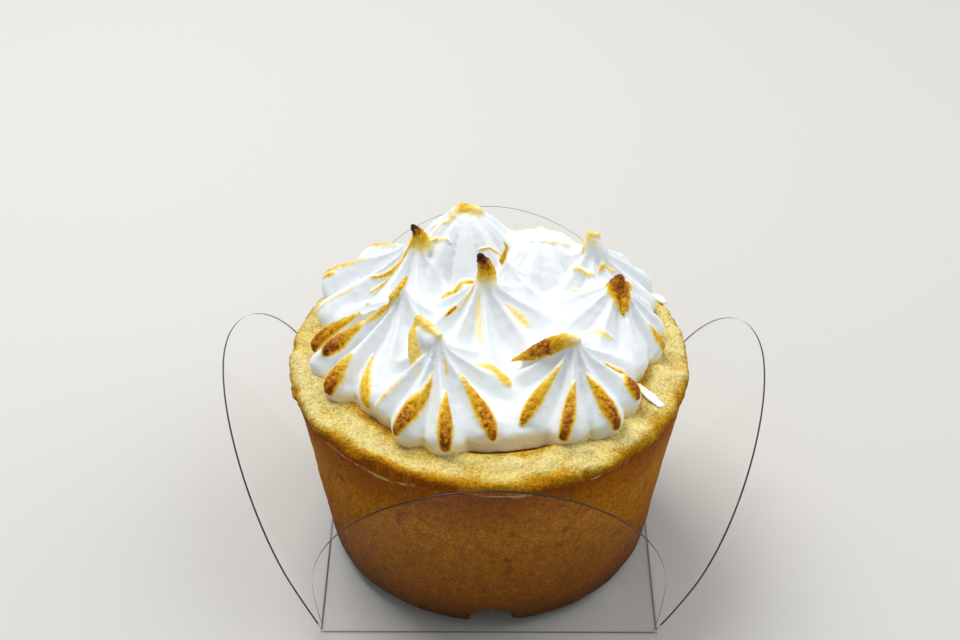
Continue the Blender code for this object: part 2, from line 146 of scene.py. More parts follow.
def fold_petal(bm, direction_deg, lean_deg, bend_deg, phase):
    """Lays one petal as a grid and folds it up from its crease."""
    direction = math.radians(direction_deg)
    outward = Vector((math.cos(direction), math.sin(direction), 0.0))
    across = Vector((outward.y, -outward.x, 0.0))
    up = Vector((0.0, 0.0, 1.0))
    grid = bmesh.ops.create_grid(bm, x_segments=PETAL_COLUMNS, y_segments=PETAL_ROWS, size=1.0)
    middles = [outward * (BASE_SIDE / 2)]
    normals = [outward]
    distances = [0.0]
    for row in range(1, PETAL_ROWS + 1):
        # Rows crowd towards the round top, where the outline turns fastest.
        distances.append(PETAL_LENGTH * math.sin(row / PETAL_ROWS * math.pi / 2) ** 0.9)
        step = distances[-1] - distances[-2]
        reached = (distances[-1] + distances[-2]) / 2
        angle = math.radians(lean_deg + bend_deg * reached / PETAL_LENGTH)
        middles.append(middles[-1] + step * (outward * math.sin(angle) + up * math.cos(angle)))
        normals.append(outward * math.cos(angle) - up * math.sin(angle))
    for vert in grid["verts"]:
        row = round((vert.co.y + 1.0) / 2.0 * PETAL_ROWS)
        if row == 0:
            for face in vert.link_faces:
                face.material_index = CREASED
        sideways = vert.co.x * petal_half_width(distances[row])
        # The film waves more the further it stands from its crease.
        wave = math.sin(1.7 * sideways / PETAL_HALF_WIDTH + phase)
        wave *= FILM_WAVE * (distances[row] / PETAL_LENGTH) ** 2
        vert.co = middles[row] + across * sideways + normals[row] * wave


def make_film_material():
    """PET film, calendered smooth: it passes nearly all light and mirrors a little."""
    material, tree, output = new_material("clear_pet_film")
    clear = add_node(tree, "ShaderNodeBsdfTransparent", Color=linear(FILM_TINT))
    gloss = add_node(tree, "ShaderNodeBsdfGlossy", Color=linear("#ffffff"), Roughness=0.06)
    mirror = add_node(tree, "ShaderNodeFresnel", IOR=1.45)
    # A sheet has two faces, and only the one that light enters by mirrors it.
    inner = add_node(tree, "ShaderNodeNewGeometry").outputs["Backfacing"]
    outer = add_node(tree, "ShaderNodeMath", {"operation": "SUBTRACT"}, _0=1.0, _1=inner)
    times = {"operation": "MULTIPLY"}
    once = add_node(tree, "ShaderNodeMath", times, _0=mirror.outputs[0], _1=outer.outputs[0])
    share = add_node(tree, "ShaderNodeMath", times, _0=once.outputs[0], _1=FILM_MIRROR)
    film = add_node(
        tree,
        "ShaderNodeMixShader",
        _0=share.outputs[0],
        _1=clear.outputs[0],
        _2=gloss.outputs[0],
    )
    tree.links.new(film.outputs[0], output.inputs["Surface"])
    return material


def make_line_material(name, cover):
    """A cut edge or a crease of the film, painted as a dark, nearly opaque line: painted shade and
    reflection that stand in for the light that the clear film bends there.
    """
    material, tree, output = new_material(name)
    edge = add_node(
        tree,
        "ShaderNodeBsdfPrincipled",
        Base_Color=linear(PAINTED_DARK_LINE_COLOUR),
        Roughness=0.4,
        IOR=1.45,
        Alpha=cover,
    )
    tree.links.new(edge.outputs[0], output.inputs["Surface"])
    return material


case_bm = bmesh.new()
bmesh.ops.create_grid(case_bm, x_segments=1, y_segments=1, size=BASE_SIDE / 2)
for face in case_bm.faces:
    face.material_index = CREASED
for number, (direction_deg, lean_deg, bend_deg) in enumerate(PETALS.values()):
    # The phase gives each petal a wave of its own.
    fold_petal(case_bm, direction_deg, lean_deg, bend_deg, phase=0.7 + 1.9 * number)
pet_film = make_film_material()
cut_edge = make_line_material("cut_edge_of_pet_film", EDGE_COVER)
crease_line = make_line_material("creased_pet_film", CREASE_COVER)
case_materials = [pet_film, cut_edge, pet_film, crease_line]
clear_case = finish_piece("clear_film_case", case_bm, case_materials, "clear_case")
film = clear_case.modifiers.new("film", "SOLIDIFY")
film.thickness = SHEET
film.offset = 1.0
film.material_offset_rim = 1

# The crust: a thick cup of shortcrust, pressed in a tapered tin, baked and turned out.
# The rim was trimmed before baking, which left a ragged ledge under it. The surface is
# dry and granular, pale at the rim and browner on the wall, with one chip at its foot.

TARTLET_Y = 0.4 * MM
CASE_FLOOR = 0.6 * MM
CRUST_HEIGHT = 34.5 * MM
RIM_RADIUS = 31.0 * MM
FOOT_RADIUS = 26.2 * MM
FOOT_ROUNDING = 2.8 * MM
RIM_ROUNDING = 1.4 * MM
LIP_DEPTH = 2.0 * MM
LIP_STEP = 0.35 * MM
RIM_CROWN = 0.5 * MM
RECESS_RADIUS = 21.8 * MM
RECESS_DEPTH = 1.7 * MM
RECESS_SLOPE = 1.6 * MM
FOOT_RING_Y = 2.7 * MM  # middle and radius of the ring that the meringue's foot follows
FOOT_RING_RADIUS = 24.9 * MM
GRAIN_STEP = 0.42 * MM  # spacing of the mesh that carries the grain
FLAT_STEP = 4.0 * MM  # and of the mesh under the crust and under the meringue
CRUST_STEPS = 470  # steps of the mesh once round the crust
# How far the dough's own swells, its lumps and its grain stand out on the wall, and how much
# further the last two do on the rim.
SWELLS = 0.22 * MM
LUMPS = 0.06 * MM
LUMPS_ON_RIM = 0.44 * MM
GRAIN = 0.04 * MM
GRAIN_ON_RIM = 0.18 * MM
RIM_START = 3.0 * MM  # how far from the recess the rim's relief reaches its full height
RIM_WANDER = 0.45 * MM  # how far the rim rises and sinks
LEDGE_WANDER = 1.1 * MM  # how far the ledge under it does
LEDGE_CRUMBS = 0.55 * MM  # how far crumbs hang out from the ledge
LEDGE_HALF = 0.7 * MM  # half the height of the band that they hang in
LEDGE_PALE_HALF = 0.4 * MM  # and of its pale middle
PIT_DEPTH = 0.7 * MM
# The rim is made darker round the meringue's foot, as a baked stain and as painted contact shade
# under the meringue's edge, and in patches past a radius, as a baked stain made strongest at the
# front as painted shade: it has the colour of a place that lies so much deeper below the rim.
FOOT_STAIN_AND_SHADE = 1.2 * MM
FOOT_STAIN_AND_SHADE_WIDTH = 2.4 * MM
EDGE_STAIN_AND_SHADE_SLOPE = 0.75
EDGE_STAIN_AND_SHADE_RADIUS = 28.2 * MM
# The chip in the foot: its place, its half sizes, and the way that the piece broke out.
CHIP_X = 0.6 * MM
CHIP_HALF = Vector((4.2 * MM, 6.6 * MM, 4.4 * MM))
CHIP_INTO = Vector((0.0, 0.75, 0.65))
# The crust's colour by how far below the rim it lies, in mm. From 26 mm down it darkens towards the
# foot as painted shade.
CRUST_COLOURS = (
    (0.0, "#e2ce86"),
    (0.5, "#dac26e"),
    (1.0, "#cda23c"),
    (1.6, "#b6820a"),
    (2.4, "#9e6602"),
    (3.2, "#8a4400"),
    (6.0, "#9c5600"),
    (12.0, "#b06e04"),
    (26.0, "#925403"),
    # Darker towards the foot: painted shade low on the wall.
    (30.0, "#784202"),
    (34.0, "#421e00"),
)
PORE_COLOUR = "#a8782a"
SPECK_COLOUR = "#6b3c0c"
CRUMB_COLOUR = "#dfbd78"
# Crumbs and pits on the rim: x, y, height or depth, and radius, in mm.
CRUMBS = (
    (14.6, -26.4, 0.8, 0.8),
    (13.9, -27.4, -1.1, 0.6),
    (21.0, -20.6, 0.5, 0.9),
    (-9.2, -27.2, 0.5, 0.7),
)
# Sizes of the crust's patterns. The real sand is finer, and is drawn as coarse as it shows.
BLOTCH_SIZE = 3.846 * MM
MOTTLE_SIZE = 1.538 * MM
SAND_SIZE = 0.4167 * MM
SPECK_SIZE = 2.083 * MM
SAND_RELIEF = 0.38 * MM
PATTERN_CONTRAST = 0.38
BAND_WANDER = 1.2 * MM  # how far the bands of colour wander up and down


def arc(centre_x, centre_z, radius, start_deg, end_deg):
    """Points of an arc in a turned profile, a grain step apart."""
    steps = max(2, round(abs(math.radians(end_deg - start_deg)) * radius / GRAIN_STEP))
    points = []
    for i in range(steps + 1):
        angle = math.radians(start_deg + (end_deg - start_deg) * i / steps)
        points.append((centre_x + radius * math.cos(angle), centre_z + radius * math.sin(angle)))
    return points


def filled_in(corners, step):
    """The same outline with points no further apart than the step."""
    points = [corners[0]]
    for (x0, z0), (x1, z1) in zip(corners, corners[1:]):
        parts = max(1, round(math.hypot(x1 - x0, z1 - z0) / step))
        for i in range(1, parts + 1):
            points.append((x0 + (x1 - x0) * i / parts, z0 + (z1 - z0) * i / parts))
    return points


def crust_profile():
    """The crust's outline, from the middle of its underside to the middle of its top."""
    top = CRUST_HEIGHT
    slope = math.atan2(RIM_RADIUS - LIP_STEP - FOOT_RADIUS, top - RIM_ROUNDING - FOOT_ROUNDING)
    foot = arc(FOOT_RADIUS - FOOT_ROUNDING, FOOT_ROUNDING, FOOT_ROUNDING, -90, -math.degrees(slope))
    lip_z = top - LIP_DEPTH
    lip_radius = FOOT_RADIUS + (lip_z - FOOT_ROUNDING) * math.tan(slope)
    rim = arc(RIM_RADIUS - RIM_ROUNDING, top - RIM_ROUNDING, RIM_ROUNDING, -5, 90)
    inner = RECESS_RADIUS + RECESS_SLOPE
    outside = foot + [(lip_radius, lip_z), (lip_radius + LIP_STEP, lip_z + LIP_STEP)] + rim
    crown = [(inner, top - RIM_CROWN), (RECESS_RADIUS, top - RECESS_DEPTH)]
    return (
        filled_in([(0.0, 0.0), foot[0]], FLAT_STEP)
        + filled_in(outside + crown, GRAIN_STEP)[1:]
        + filled_in([crown[-1], (0.0, top - RECESS_DEPTH)], FLAT_STEP)[1:]
    )


def limited(value):
    """The value, kept between 0 and 1."""
    return min(1.0, max(0.0, value))


def dough_noise(co, size, offset=(0.0, 0.0, 0.0)):
    """Noise from -1 to 1 with lumps of a size in mm; the offset sets patterns apart."""
    return noise.noise(co / (size * MM) + Vector(offset))


def crumble(vert, below_rim, crumbs):
    """Moves a point by the dough's unevenness and grain, and marks its shade."""
    co = vert.co
    radius = math.hypot(co.x, co.y)
    on_underside = co.z < 0.05 * FOOT_ROUNDING and radius < FOOT_RADIUS
    if radius < RECESS_RADIUS or on_underside:
        return
    outward = Vector((co.x, co.y, 0.0)).normalized()
    lip_z = CRUST_HEIGHT - LIP_DEPTH
    near_top = limited((co.z - lip_z) / (0.6 * LIP_DEPTH))
    swell = dough_noise(co, 6.0)
    lump = dough_noise(co, 2.4, (7.0, 3.0, 1.0))
    grain = dough_noise(co, 0.9, (1.0, 9.0, 4.0))
    push = SWELLS * swell
    push += (LUMPS + LUMPS_ON_RIM * near_top) * lump
    push += (GRAIN + GRAIN_ON_RIM * near_top) * grain
    # The ledge under the rim wanders up and down, and crumbs hang on it in places.
    wander = noise.noise(Vector((math.atan2(co.y, co.x) * 4.0, 2.0, 0.0)))
    from_ledge = abs(co.z - (lip_z + LEDGE_WANDER * wander))
    ragged = max(0.0, 0.15 + dough_noise(co, 1.3, (3.0, 5.0, 2.0)))
    push += LEDGE_CRUMBS * max(0.0, 1.0 - from_ledge / LEDGE_HALF) * ragged
    push -= PIT_DEPTH * max(0.0, dough_noise(co, 1.5, (4.0, 4.0, 8.0)) - 0.45)
    on_rim = near_top * limited((radius - RECESS_RADIUS) / RIM_START)
    vert.co = co + outward * push * (1.0 - 0.4 * near_top)
    vert.co.z += on_rim * (push + RIM_WANDER * swell)
    for x, y, rise, spread in CRUMBS:
        away = math.hypot(co.x - x * MM, co.y - y * MM) / (spread * MM)
        vert.co.z += near_top * rise * MM * math.exp(-(away**2))
    # Round the meringue's foot the rim is darkened, partly as a baked stain and partly as painted
    # contact shade.
    from_foot = math.hypot(co.x, co.y - FOOT_RING_Y) - FOOT_RING_RADIUS
    foot_stain_and_shade = FOOT_STAIN_AND_SHADE * near_top * limited(1.0 - from_foot / FOOT_STAIN_AND_SHADE_WIDTH)
    # The edge's stain is made strongest at the front, which faces away from the light: that extra
    # is painted shade.
    patchy = max(0.0, 1.0 + 2.0 * dough_noise(co, 8.0, (13.0, 11.0, 5.0)))
    front_shade_weight = 0.25 + 0.75 * max(0.0, -co.y / radius)
    past_radius = max(0.0, radius - EDGE_STAIN_AND_SHADE_RADIUS)
    edge_stain_and_shade = EDGE_STAIN_AND_SHADE_SLOPE * front_shade_weight * patchy * past_radius
    vert[below_rim] = CRUST_HEIGHT - vert.co.z + edge_stain_and_shade + foot_stain_and_shade
    hanging = dough_noise(co, 5.0, (6.0, 2.0, 5.0))
    fine = dough_noise(co, 0.8, (8.0, 3.0, 6.0))
    on_ledge = max(0.0, 1.0 - from_ledge / LEDGE_PALE_HALF)
    vert[crumbs] = on_ledge * limited(3.0 * hanging + 2.5 * fine)


def break_chip(vert, centre):
    """Carries a point inside the chip's hollow along to the hollow's far wall."""
    start = Vector([(vert.co - centre)[axis] / CHIP_HALF[axis] for axis in range(3)])
    way = Vector([CHIP_INTO[axis] / CHIP_HALF[axis] for axis in range(3)])
    rough = 1.0 + 0.20 * dough_noise(vert.co, 1.6) + 0.08 * dough_noise(vert.co, 0.6)
    inside = rough**2 - start.length_squared
    if inside <= 0.0:
        return
    half = start.dot(way)
    travel = (-half + math.sqrt(half * half + way.length_squared * inside)) / way.length_squared
    vert.co += CHIP_INTO * travel


def make_crust_material():
    """Baked shortcrust: dry, matt and sandy, pale on the rim and browner down the wall."""
    material, tree, output = new_material("baked_shortcrust")
    place = add_node(tree, "ShaderNodeTexCoord").outputs["Object"]
    patterns = []
    for size, detail, roughness in (
        (BLOTCH_SIZE, 4.0, 0.6),
        (MOTTLE_SIZE, 3.0, 0.6),
        (SAND_SIZE, 3.0, 0.65),
        (SPECK_SIZE, 2.0, 0.5),
    ):
        pattern = add_node(
            tree,
            "ShaderNodeTexNoise",
            Vector=place,
            Scale=1.0 / size,
            Detail=detail,
            Roughness=roughness,
        )
        patterns.append(pattern.outputs[0])
    blotch, mottle, sand, spots = patterns
    # The browning follows the depth under the rim, and its bands wander with the blotches.
    below = add_node(tree, "ShaderNodeAttribute", {"attribute_name": "below_rim"}).outputs["Fac"]
    times_and_add = {"operation": "MULTIPLY_ADD"}
    wander = add_node(
        tree, "ShaderNodeMath", times_and_add, _0=blotch, _1=BAND_WANDER, _2=-BAND_WANDER / 2
    )
    level = add_node(tree, "ShaderNodeMath", {"operation": "ADD"}, _0=below, _1=wander.outputs[0])
    depth = add_node(tree, "ShaderNodeMapRange", Value=level.outputs[0], From_Max=CRUST_HEIGHT)
    baked = add_node(tree, "ShaderNodeValToRGB", _0=depth.outputs[0])
    baked.color_ramp.elements.remove(baked.color_ramp.elements[1])
    baked.color_ramp.elements[0].color = linear(CRUST_COLOURS[0][1])
    for deep, colour in CRUST_COLOURS[1:]:
        baked.color_ramp.elements.new(deep * MM / CRUST_HEIGHT).color = linear(colour)
    # Mottling and sand grains lighten and darken it. The grains are lighter on the sand relief's
    # tops and darker in its hollows, partly as grain colour and partly as painted glints and shade.
    overlay = {"data_type": "RGBA", "blend_type": "OVERLAY"}
    mottled = add_node(
        tree, "ShaderNodeMix", overlay, _0=PATTERN_CONTRAST, _6=baked.outputs["Color"], _7=mottle
    )
    grains = add_node(tree, "ShaderNodeMapRange", Value=sand, From_Min=0.36, From_Max=0.64)
    grainy = add_node(
        tree,
        "ShaderNodeMix",
        overlay,
        _0=PATTERN_CONTRAST,
        _6=mottled.outputs[2],
        _7=grains.outputs[0],
    )
    # Pores show in the sand's hollows, and darker specks on the wall.
    cover = {"data_type": "RGBA"}
    pores = add_node(
        tree, "ShaderNodeMapRange", Value=sand, From_Min=0.44, From_Max=0.28, To_Max=0.22
    )
    sandy = add_node(
        tree,
        "ShaderNodeMix",
        cover,
        _0=pores.outputs[0],
        _6=grainy.outputs[2],
        _7=linear(PORE_COLOUR),
    )
    spotted = add_node(
        tree, "ShaderNodeMapRange", Value=spots, From_Min=0.60, From_Max=0.74, To_Max=0.7
    )
    on_wall = add_node(
        tree,
        "ShaderNodeMapRange",
        Value=depth.outputs[0],
        From_Min=0.06,
        From_Max=0.14,
        To_Min=0.2,
    )
    specks = add_node(
        tree,
        "ShaderNodeMath",
        {"operation": "MULTIPLY"},
        _0=spotted.outputs[0],
        _1=on_wall.outputs[0],
    )
    speckled = add_node(
        tree,
        "ShaderNodeMix",
        cover,
        _0=specks.outputs[0],
        _6=sandy.outputs[2],
        _7=linear(SPECK_COLOUR),
    )
    crumb = add_node(tree, "ShaderNodeAttribute", {"attribute_name": "crumbs"}).outputs["Fac"]
    crumbed = add_node(
        tree, "ShaderNodeMix", cover, _0=crumb, _6=speckled.outputs[2], _7=linear(CRUMB_COLOUR)
    )
    relief = add_node(
        tree, "ShaderNodeMath", times_and_add, _0=specks.outputs[0], _1=-0.4, _2=sand
    )
    bump = add_node(
        tree, "ShaderNodeBump", Strength=0.9, Distance=SAND_RELIEF, Height=relief.outputs[0]
    )
    shader = add_node(
        tree,
        "ShaderNodeBsdfPrincipled",
        Base_Color=crumbed.outputs[2],
        Roughness=0.75,
        IOR=1.45,
        Specular_IOR_Level=0.08,
        Normal=bump.outputs[0],
    )
    tree.links.new(shader.outputs[0], output.inputs["Surface"])
    return material


crust_bm = bmesh.new()
profile = [crust_bm.verts.new((x, 0.0, z)) for x, z in crust_profile()]
outline = [crust_bm.edges.new(pair) for pair in zip(profile, profile[1:])]
bmesh.ops.spin(
    crust_bm,
    geom=profile + outline,
    axis=(0.0, 0.0, 1.0),
    cent=(0.0, 0.0, 0.0),
    angle=2.0 * math.pi,
    steps=CRUST_STEPS,
    use_merge=True,
)
bmesh.ops.remove_doubles(crust_bm, verts=crust_bm.verts, dist=0.01 * MM)
chip_centre = Vector((CHIP_X, -FOOT_RADIUS, 0.0))
crumbs = crust_bm.verts.layers.float.new("crumbs")
below_rim = crust_bm.verts.layers.float.new("below_rim")
for vert in crust_bm.verts:
    crumble(vert, below_rim, crumbs)
    if (vert.co - chip_centre).length < 1.5 * CHIP_HALF.x:
        break_chip(vert, chip_centre)
bmesh.ops.translate(crust_bm, verts=crust_bm.verts, vec=(0.0, TARTLET_Y, CASE_FLOOR))
bmesh.ops.recalc_face_normals(crust_bm, faces=crust_bm.faces)
finish_piece("shortcrust_cup", crust_bm, [make_crust_material()], "crust")

# The meringue: whipped egg white and sugar, piped with a star nozzle as ten close
# kisses that ran together, then torched. Each kiss is pulled to a tip, its ridges run
# down from the tip to a plump skirt, and the flame caught the crests and the peaks.

BED_Z = CASE_FLOOR + CRUST_HEIGHT
RIDGES = 9  # the nozzle's teeth
# Each kiss: tip x, y, height; base x, y, radius; the side that it was dragged to in
# degrees, a turn of the ridges in parts of one ridge, how blunt the kiss is, from 0 to
# 1, and how much its ridges crowd on the dragged side.
KISSES = {
    "front_left": (-7.8, -9.8, 11.5, -5.8, -12.4, 11.3, -84.0, 0.0, 0.0, 0.25),
    "front_right": (12.6, -9.4, 11.3, 11.4, -10.4, 11.1, -113.0, 0.5, 0.0, 0.12),
    "left": (-13.2, 2.2, 11.3, -15.0, -2.8, 12.3, -151.0, 0.0, 0.0, 0.5),
    "middle": (-1.2, 4.0, 13.2, 1.0, -1.0, 14.0, -100.0, 0.5, 0.0, 0.25),
    "right": (20.2, 5.4, 11.1, 15.8, 1.9, 11.2, -80.0, 0.0, 0.1, 0.25),
    "back_left": (-11.6, 14.8, 12.4, -14.2, 11.4, 13.3, -120.0, 0.0, 0.0, 0.25),
    "back": (-3.8, 19.0, 14.2, -3.6, 16.2, 12.0, -90.0, 0.0, 0.9, 0.25),
    "back_right": (8.4, 17.4, 10.4, 7.2, 15.2, 12.2, -90.0, 0.5, 1.0, 0.25),
    "right_back": (16.4, 14.8, 11.2, 14.6, 12.4, 11.8, -60.0, 0.0, 0.2, 0.25),
    "inner": (2.6, 10.4, 10.2, 4.4, 7.0, 11.4, -70.0, 0.0, 0.2, 0.25),
}
# A kiss from its tip to its foot: share of the way out, share of the height.
REACH = (0.0, 0.03, 0.08, 0.16, 0.28, 0.45, 0.65, 0.82, 0.92, 0.975, 1.0, 1.05)
FALL = (1.0, 0.955, 0.865, 0.765, 0.67, 0.57, 0.465, 0.36, 0.27, 0.165, 0.0, -0.3)
# The grooves between its ridges: share of the way out, depth in mm on a kiss of one radius.
GROOVE_REACH = (0.0, 0.06, 0.25, 0.6, 0.9, 1.0)
GROOVE_DEPTH = (0.0, 0.25, 1.0, 2.1, 2.5, 1.7)
GROOVE_RADIUS = 13.0
# How sharp the crests of the ridges are on the way out.
CREST_REACH = (0.0, 0.3, 0.6, 0.95)
CREST_SHARPNESS = (4.5, 4.0, 2.2, 0.9)
# Finer creases run beside the ridges, and die out before the skirt.
CREASE_REACH = (0.05, 0.2, 0.4, 0.7)
CREASE_DEPTH = (0.0, 0.32, 0.28, 0.0)
BLEND = 0.55  # how softly neighbouring kisses run together, in mm
BLEND_RISE = 0.2  # what the blending adds, which is taken off again
# The pad that the kisses stand on: its place and radius, then how far in from its edge and
# how high over the rim it is there, in mm.
PAD_CENTRE_Y = 2.7
PAD_RADIUS = 24.8
PAD_EDGE_IN = (-4.0, 0.0, 0.4, 1.1, 2.3, 4.3, 7.3, 12.0, 25.0)
PAD_HEIGHT = (-9.0, 0.0, 0.7, 1.6, 2.3, 2.9, 3.4, 3.9, 4.3)
# The skirt: height over the rim, and how far it swells out there, in mm.
SKIRT_HEIGHT = (-2.0, 0.0, 1.0, 2.2, 3.5, 5.0, 8.0)
SKIRT_SWELL = (-0.5, -0.3, 0.35, 0.7, 0.5, 0.1, 0.0)
SKIRT_START = 17.0  # radius where the swell sets in, and how far on it is at its full, in mm
SKIRT_WIDTH = 6.0
# The sheet that is raised to the kisses: cells a side, half a side, its lowest points and
# its underside, in mm.
GRID_CELLS = 264
GRID_HALF = 29.5
SHEET_LOWEST = -2.0
SHEET_UNDERSIDE = -3.0
BALL_STEP = 0.3  # spacing of the balls that make a peak, in mm
VOXEL = 0.27 * MM
SUNK = 1.2 * MM  # how far the meringue goes down into the recess
# Peaks pulled up or over by the nozzle, and two smears that it left on the rim: points
# x, y, height and radius along each.
PEAKS = {
    "middle": (
        (-0.5, 3.8, 10.5, 1.8),
        (-0.5, 4.1, 12.4, 1.4),
        (-0.9, 4.3, 13.8, 1.05),
        (-1.5, 4.4, 14.9, 0.6),
    ),
    "back_left": (
        (-11.3, 14.7, 8.6, 1.9),
        (-11.0, 14.8, 10.4, 1.5),
        (-11.3, 14.9, 11.9, 1.0),
        (-12.2, 15.0, 12.9, 0.5),
    ),
    "front_right": (
        (13.0, -9.8, 9.9, 0.7),
        (10.8, -9.8, 9.9, 1.1),
        (8.4, -9.6, 8.6, 1.2),
        (6.2, -9.3, 7.0, 0.9),
        (4.6, -9.0, 5.9, 0.55),
        (3.3, -8.8, 5.1, 0.28),
    ),
    "front_right_wall": ((11.0, -8.9, 7.8, 2.0), (8.4, -8.7, 6.2, 1.9), (6.2, -8.4, 4.6, 1.6)),
    "inner": (
        (2.0, 11.0, 9.4, 0.6),
        (2.3, 11.2, 10.3, 0.42),
        (2.8, 11.5, 11.4, 0.34),
        (2.3, 11.8, 12.3, 0.28),
    ),
    "right_back": (
        (16.9, 14.5, 8.0, 2.2),
        (16.4, 14.7, 10.0, 1.5),
        (16.1, 14.9, 11.4, 0.85),
        (17.1, 15.1, 11.4, 0.6),
    ),
    "left": ((-14.6, 1.5, 9.4, 0.7), (-13.6, 2.6, 10.4, 0.6), (-12.8, 4.2, 11.1, 0.35)),
    "back": ((-5.4, 18.8, 12.8, 1.3), (-4.2, 19.2, 13.6, 1.0), (-2.2, 19.0, 13.0, 1.2)),
    "front_left": ((-7.4, -9.8, 10.7, 0.6), (-9.0, -7.6, 10.5, 0.85), (-10.8, -5.2, 10.3, 0.6)),
    "front_left_wall": ((-8.2, -9.2, 8.9, 1.7), (-9.8, -7.0, 8.8, 1.7)),
    "front_left_fold": (
        (-10.8, -5.4, 9.9, 0.6),
        (-11.3, -7.4, 8.7, 0.95),
        (-11.1, -9.8, 6.8, 1.1),
        (-10.7, -12.2, 4.9, 0.75),
    ),
    "front_left_flank": ((-10.2, -7.2, 8.0, 1.8), (-10.2, -9.4, 6.0, 1.7)),
    "smear_front": ((22.6, -8.6, 0.2, 0.7), (24.4, -11.2, 0.1, 1.05), (25.6, -12.9, 0.0, 0.75)),
    "smear_back": ((26.2, 14.2, 0.2, 0.8), (27.6, 13.2, 0.1, 0.9), (28.2, 12.5, 0.0, 0.6)),
}
# How thick a flattened peak is, as a share of its width, and how far it tilts, in degrees.
FLATTENED = {"front_right": (0.75, 40.0), "smear_front": (0.25, 0.0), "smear_back": (0.5, 0.0)}
# Torch marks on the ridges: kiss; ridge and share of the way out where the mark starts
# and where it ends; half width in mm; tone at both ends, from white 0 to black 1; lift in mm.
RIDGE_MARKS = (
    ("front_left", -0.5, 0.26, -1.08, 0.99, 1.8, 0.24, 0.66, 0.3),
    ("front_left", 0.15, 0.46, 0.0, 1.02, 1.45, 0.28, 0.72, 0.3),
    ("front_left", 1.1, 0.32, 0.93, 1.0, 1.6, 0.24, 0.66, 0.3),
    ("front_left", 2.6, 0.40, 1.95, 0.80, 1.4, 0.22, 0.34, 0.2),
    ("front_left", -1.87, 0.50, -1.88, 0.96, 0.6, 0.10, 0.24, 0.1),
    ("front_left", 0.75, 0.16, 0.45, 0.34, 0.6, 0.20, 0.20, 0.0),
    ("front_right", -0.9, 0.24, -0.94, 1.0, 1.35, 0.20, 0.58, 0.3),
    ("front_right", 0.1, 0.42, -0.15, 1.02, 1.3, 0.30, 0.70, 0.3),
    ("front_right", 0.85, 0.36, 0.97, 1.02, 1.45, 0.30, 0.68, 0.4),
    ("left", -0.1, 0.04, -0.12, 0.50, 0.75, 0.44, 0.56, 0.3),
    ("left", 0.0, 0.02, 0.0, 0.28, 0.79, 0.50, 0.50, 0.4),
    ("left", -0.15, 0.38, 0.18, 0.84, 1.65, 0.27, 0.72, 0.5),
    ("left", -1.05, 0.46, -0.7, 1.02, 1.4, 0.27, 0.68, 0.5),
    ("left", 1.0, 0.66, 1.08, 1.0, 1.8, 0.24, 0.68, 0.3),
    ("left", 1.4, 0.56, 1.85, 0.98, 1.5, 0.22, 0.44, 0.35),
    ("middle", -1.75, 0.10, -1.75, 0.33, 0.45, 0.28, 0.18, 0.1),
    ("middle", -1.9, 0.34, -1.9, 0.47, 0.5, 0.6, 0.5, 0.15),
    ("middle", -0.45, 0.08, -0.15, 0.54, 1.1, 0.20, 0.12, 0.1),
    ("middle", 1.5, 0.22, 1.5, 0.52, 1.7, 0.20, 0.21, 0.15),
    ("right", 1.0, 0.66, 1.0, 1.0, 1.1, 0.32, 0.54, 0.15),
    ("back_left", -0.3, 0.05, -0.9, 0.46, 0.6, 0.50, 0.40, 0.25),
    ("back_left", -0.3, 0.08, -0.66, 0.54, 0.5, 0.44, 0.34, 0.25),
    ("back_left", -1.85, 0.84, -1.9, 0.95, 0.7, 0.40, 0.44, 0.1),
    ("back_left", -0.95, 0.62, -1.05, 0.95, 0.4, 0.18, 0.28, 0.15),
    ("back_left", -2.0, 0.45, -2.0, 0.97, 0.9, 0.16, 0.40, 0.15),
    ("back_left", -3.0, 0.35, -3.0, 0.97, 1.0, 0.16, 0.44, 0.2),
)
# Marks that cross the ridges: plan points x, y; then half width, tones and lift as above.
FREE_MARKS = (
    (((20.7, 0.7), (20.5, 3.0), (20.2, 5.2), (19.8, 6.8)), 3.0, 0.48, 0.74, 0.4),
    (((17.3, -8.8), (19.3, -9.2), (20.6, -11.2), (21.4, -13.9)), 1.8, 0.38, 0.66, 0.35),
    (((-2.7, 8.5), (-4.0, 8.0), (-5.3, 7.5), (-7.3, 6.9)), 0.75, 0.44, 0.36, 0.3),
    (((-1.6, 12.7), (-0.2, 12.8), (0.9, 13.1), (1.9, 13.7)), 0.3, 0.50, 0.50, 0.2),
    (((-9.6, 19.4), (-7.6, 18.6), (-5.8, 17.8)), 0.4, 0.14, 0.24, 0.1),
    (((13.2, 11.0), (14.4, 11.2), (15.4, 10.9), (16.3, 9.8)), 0.6, 0.26, 0.34, 0.3),
    (((17.2, 11.4), (18.2, 11.8), (19.4, 12.2)), 0.75, 0.34, 0.34, 0.2),
    (((13.2, 8.4), (15.2, 7.9), (17.0, 7.3)), 0.4, 0.22, 0.16, 0.2),
    (((-19.1, 4.5), (-18.2, 5.0)), 0.6, 0.36, 0.36, 0.2),
    (((5.2, 19.4), (8.4, 20.4), (11.4, 20.6)), 1.2, 0.18, 0.22, 0.1),
    (((14.8, 14.0), (15.2, 14.3), (15.8, 14.8)), 0.7, 0.30, 0.60, 0.1),
    (((6.6, 15.7), (9.9, 15.4), (13.0, 16.6)), 0.35, 0.14, 0.30, 0.15),
    (((-9.4, 15.4), (-8.3, 15.4), (-7.0, 14.0), (-6.1, 13.5)), 0.35, 0.40, 0.20, 0.15),
    (((-7.3, 17.2), (-6.2, 17.3), (-5.2, 17.8)), 0.6, 0.22, 0.30, 0.15),
    (((14.0, -1.7), (15.5, -1.4), (17.3, -3.0), (18.8, -2.6)), 0.8, 0.16, 0.26, 0.15),
)
# The flame marked the ridges that face the back as it did the ones that face the front.
BACK_RIDGES = {
    "back_left": (5.0,),
    "back": (4.0, 5.0),
    "back_right": (4.0, 5.0),
    "right_back": (4.0,),
    "right": (4.0,),
}
